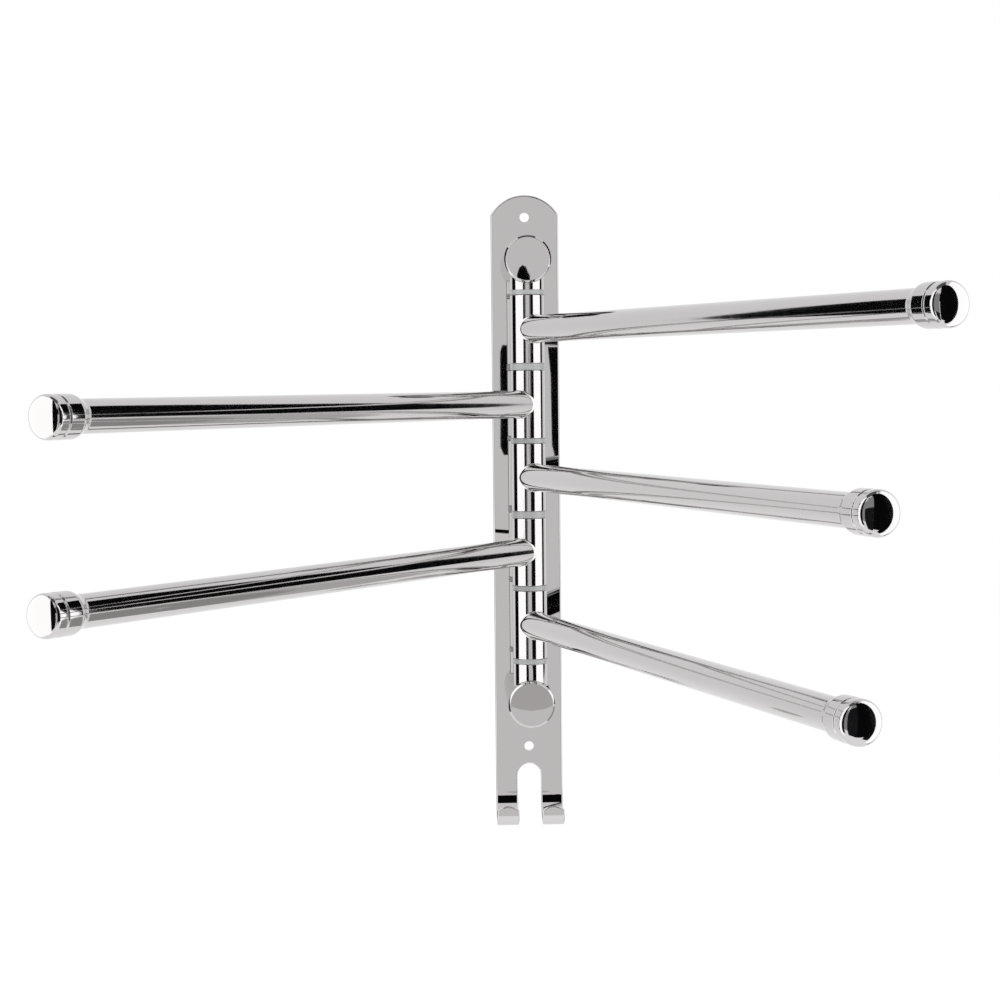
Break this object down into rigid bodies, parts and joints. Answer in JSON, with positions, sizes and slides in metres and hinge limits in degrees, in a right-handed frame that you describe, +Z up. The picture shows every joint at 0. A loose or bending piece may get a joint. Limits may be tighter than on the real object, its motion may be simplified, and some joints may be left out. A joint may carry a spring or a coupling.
{
  "type": "swing arm towel bar",
  "caption": "Wall-mounted towel rack: level arms swing on an upright spindle between two posts on a domed plate whose lower end bends into two hooks.",
  "frame": {"origin": "on the back face of the plate, midway between the two wall screw holes", "axes": "+Z up along the spindle, +Y into the wall, +X to the viewer's right; the rack faces -Y"},
  "size_m": [0.3607, 0.3543, 0.3366],
  "materials": {
    "polished_steel": "mirror polished",
    "frosted_plastic": "frosted, slightly translucent",
    "plain_steel": "as turned"
  },
  "bodies": {
    "wall_bracket": {"back_plate": "polished_steel", "upper_post": "polished_steel", "lower_post": "polished_steel", "upper_post_screw": "plain_steel", "lower_post_screw": "plain_steel", "spindle_rod": "plain_steel", "upper_stub_tube": "polished_steel", "lower_stub_tube": "polished_steel", "bush_1": "frosted_plastic", "bush_2": "frosted_plastic", "bush_3": "frosted_plastic", "bush_4": "frosted_plastic", "bush_5": "frosted_plastic", "bush_6": "frosted_plastic"},
    "arm_1": {"hub_1": "polished_steel", "arm_tube_1": "polished_steel", "end_cap_1": "polished_steel"},
    "arm_2": {"hub_2": "polished_steel", "arm_tube_2": "polished_steel", "end_cap_2": "polished_steel"},
    "arm_3": {"hub_3": "polished_steel", "arm_tube_3": "polished_steel", "end_cap_3": "polished_steel"},
    "arm_4": {"hub_4": "polished_steel", "arm_tube_4": "polished_steel", "end_cap_4": "polished_steel"},
    "arm_5": {"hub_5": "polished_steel", "arm_tube_5": "polished_steel", "end_cap_5": "polished_steel"}
  },
  "joints": [
    {"name": "arm_1_swing", "type": "hinge", "parent": "wall_bracket", "child": "arm_1", "pos_m": [0, -0.026, 0.0817], "axis": [0, 0, 1], "range_deg": [-114.9, 65.1]},
    {"name": "arm_2_swing", "type": "hinge", "parent": "wall_bracket", "child": "arm_2", "pos_m": [0, -0.026, 0.0431], "axis": [0, 0, 1], "range_deg": [-54.3, 125.7]},
    {"name": "arm_3_swing", "type": "hinge", "parent": "wall_bracket", "child": "arm_3", "pos_m": [0, -0.026, 0.0045], "axis": [0, 0, 1], "range_deg": [-109.6, 70.4]},
    {"name": "arm_4_swing", "type": "hinge", "parent": "wall_bracket", "child": "arm_4", "pos_m": [0, -0.026, -0.0341], "axis": [0, 0, 1], "range_deg": [-53.7, 126.3]},
    {"name": "arm_5_swing", "type": "hinge", "parent": "wall_bracket", "child": "arm_5", "pos_m": [0, -0.026, -0.0727], "axis": [0, 0, 1], "range_deg": [-108.3, 71.7]}
  ]
}
